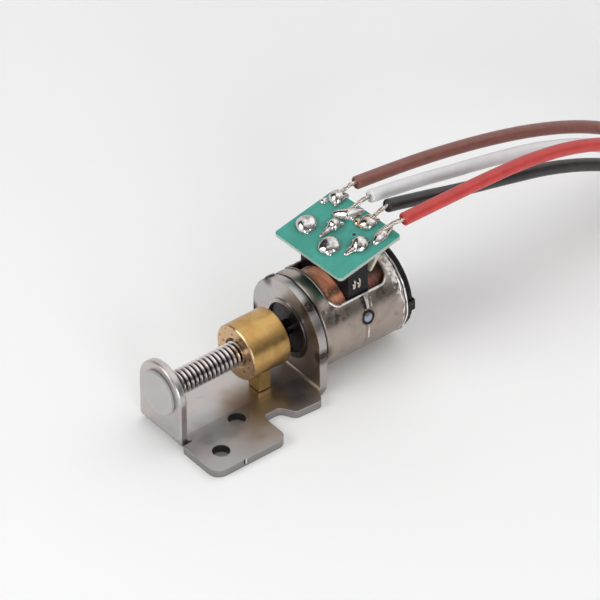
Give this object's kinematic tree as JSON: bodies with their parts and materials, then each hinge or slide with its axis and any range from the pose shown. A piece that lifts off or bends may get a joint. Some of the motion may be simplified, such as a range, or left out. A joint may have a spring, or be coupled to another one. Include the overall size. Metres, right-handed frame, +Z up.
{
  "type": "stepper motor with lead screw",
  "caption": "Miniature can stepper motor on a bent sheet bracket, turning a fine lead screw that moves a brass slider nut along the bracket's floor.",
  "frame": {"origin": "on the mounting face, under the lead screw's axis and halfway along the bracket, between the outer face of the ear and the back of the motor flange", "axes": "+Y along the lead screw from the bracket's ear to the motor, +Z up from the mounting face, +X towards the mounting tab"},
  "size_m": [0.011, 0.0805, 0.0129],
  "materials": {
    "bracket_steel": "nickel-plated sheet, satin",
    "can_steel": "nickel-plated deep-drawn steel, slightly warm grey",
    "screw_steel": "rolled thread, polished flanks",
    "brass": "turned brass, satin",
    "white_plastic": "natural white acetal",
    "black_plastic": "moulded black",
    "enamelled_copper": "enamelled copper winding",
    "magnet": "sintered magnet, matt",
    "oiled_bearing": "oil-filled sintered bush, nearly black",
    "green_board": "green solder mask over glass laminate",
    "solder": "bright solder",
    "tinned_copper": "tinned copper",
    "brown_insulation": "flexible vinyl, slightly glossy",
    "white_insulation": "flexible vinyl, slightly glossy",
    "black_insulation": "flexible vinyl, slightly glossy",
    "red_insulation": "flexible vinyl, slightly glossy"
  },
  "bodies": {
    "motor": {"bracket": "bracket_steel", "pivot_bush": "white_plastic", "front_stator_cup": "can_steel", "rear_stator_cup": "can_steel", "front_inner_yoke": "can_steel", "rear_inner_yoke": "can_steel", "front_bobbin": "black_plastic", "rear_bobbin": "black_plastic", "front_coil": "enamelled_copper", "rear_coil": "enamelled_copper", "front_bearing": "oiled_bearing", "thrust_washer": "screw_steel", "rear_cover": "black_plastic", "rear_bearing": "oiled_bearing", "thrust_ball": "screw_steel", "crimp_tabs": "can_steel", "terminal_pins": "tinned_copper", "circuit_board": "green_board", "pin_solder": "solder", "lead_solder": "solder", "lead_cores": "tinned_copper", "brown_lead": "brown_insulation", "white_lead": "white_insulation", "black_lead": "black_insulation", "red_lead": "red_insulation", "brown_lead_tip": "tinned_copper", "white_lead_tip": "tinned_copper", "black_lead_tip": "tinned_copper", "red_lead_tip": "tinned_copper"},
    "rotor": {"lead_screw": "screw_steel", "rotor_sleeve": "brass", "rotor_magnet": "magnet"},
    "nut": {"slider_nut": "brass"}
  },
  "joints": [
    {"name": "nut_slide", "type": "slide", "parent": "motor", "child": "nut", "axis": [0, 1, 0], "range_m": [-0.006, 0.0011]},
    {"name": "screw_spin", "type": "hinge", "parent": "motor", "child": "rotor", "pos_m": [0, 0, 0.0042], "axis": [0, 1, 0], "range_deg": [-995, 5405]}
  ],
  "couplings": [
    {"joint": "screw_spin", "follows": "nut_slide", "rad_per_m": -15708}
  ]
}
